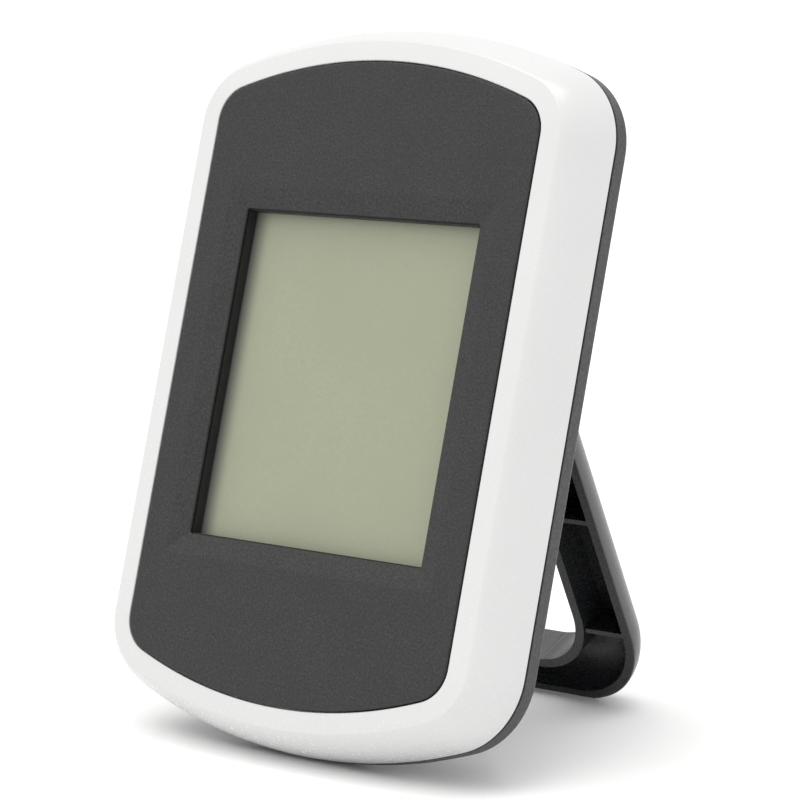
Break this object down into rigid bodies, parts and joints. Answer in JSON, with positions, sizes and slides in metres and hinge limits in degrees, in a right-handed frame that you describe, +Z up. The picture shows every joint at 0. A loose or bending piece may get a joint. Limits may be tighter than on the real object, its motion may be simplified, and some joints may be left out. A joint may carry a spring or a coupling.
{
  "type": "maximum minimum thermometer",
  "caption": "Palm-sized digital maximum minimum thermometer in a white and grey case, leaning on a fold-out rear stand.",
  "frame": {"origin": "middle of the bounding box's underside, on the surface the thermometer stands on", "axes": "+Z up; the display faces -Y and leans back towards +Y; +X is to the viewer's right"},
  "size_m": [0.0718, 0.066, 0.1013],
  "materials": {
    "white_plastic": "gloss",
    "fascia_plastic": "fine matte texture",
    "cover_plastic": "matte",
    "stand_plastic": "satin",
    "holder_plastic": "matte",
    "lcd_film": "satin",
    "lcd_glass": "clear",
    "reflector": "matte",
    "elastomer": "matte",
    "board": "solder mask",
    "resin": "satin",
    "steel": "tinned",
    "contact_metal": "plated",
    "component": "ceramic",
    "switch_plastic": "matte",
    "button_plastic": "matte",
    "cell_sleeve": "gloss",
    "red_wire": "satin",
    "black_wire": "satin"
  },
  "bodies": {
    "case": {"front_case": "white_plastic", "fascia_panel": "fascia_plastic", "lcd_holder": "holder_plastic", "lcd_front_polariser": "lcd_film", "lcd_glass": "lcd_glass", "lcd_reflector": "reflector", "zebra_strip": "elastomer", "circuit_board": "board", "chip_resin": "resin", "crystal": "steel", "capacitor_1": "component", "capacitor_2": "component", "resistor_1": "resin", "resistor_2": "resin", "thermistor": "resin", "switch_body_1": "switch_plastic", "switch_body_2": "switch_plastic", "switch_body_3": "switch_plastic", "battery_cell": "cell_sleeve", "contact_positive": "contact_metal", "contact_negative_spring": "steel", "wire_positive": "red_wire", "wire_negative": "black_wire", "rear_cover": "cover_plastic", "case_screw_1": "steel", "case_screw_2": "steel", "case_screw_3": "steel", "case_screw_4": "steel", "board_screw_1": "steel", "board_screw_2": "steel", "board_screw_3": "steel", "board_screw_4": "steel"},
    "stand": {"stand": "stand_plastic"},
    "button_1": {"button_1": "button_plastic", "switch_plunger_1": "button_plastic"},
    "button_2": {"button_2": "button_plastic", "switch_plunger_2": "button_plastic"},
    "button_3": {"button_3": "button_plastic", "switch_plunger_3": "button_plastic"},
    "battery_door": {"battery_door": "cover_plastic"}
  },
  "joints": [
    {"name": "stand_hinge", "type": "hinge", "parent": "case", "child": "stand", "pos_m": [0, 0.00041, 0.06524], "axis": [1, 0, 0], "range_deg": [-42.7, 0]},
    {"name": "button_1_press", "type": "slide", "parent": "case", "child": "button_1", "axis": [0, -0.9599, 0.2803], "range_m": [0, 0.0008], "stiffness_N_per_m": 600, "springref_m": -0.0005},
    {"name": "button_2_press", "type": "slide", "parent": "case", "child": "button_2", "axis": [0, -0.9599, 0.2803], "range_m": [0, 0.0008], "stiffness_N_per_m": 600, "springref_m": -0.0005},
    {"name": "button_3_press", "type": "slide", "parent": "case", "child": "button_3", "axis": [0, -0.9599, 0.2803], "range_m": [0, 0.0008], "stiffness_N_per_m": 600, "springref_m": -0.0005},
    {"name": "battery_door_lift", "type": "slide", "parent": "case", "child": "battery_door", "axis": [0, 0.9599, -0.2803], "range_m": [0, 0.02]}
  ]
}
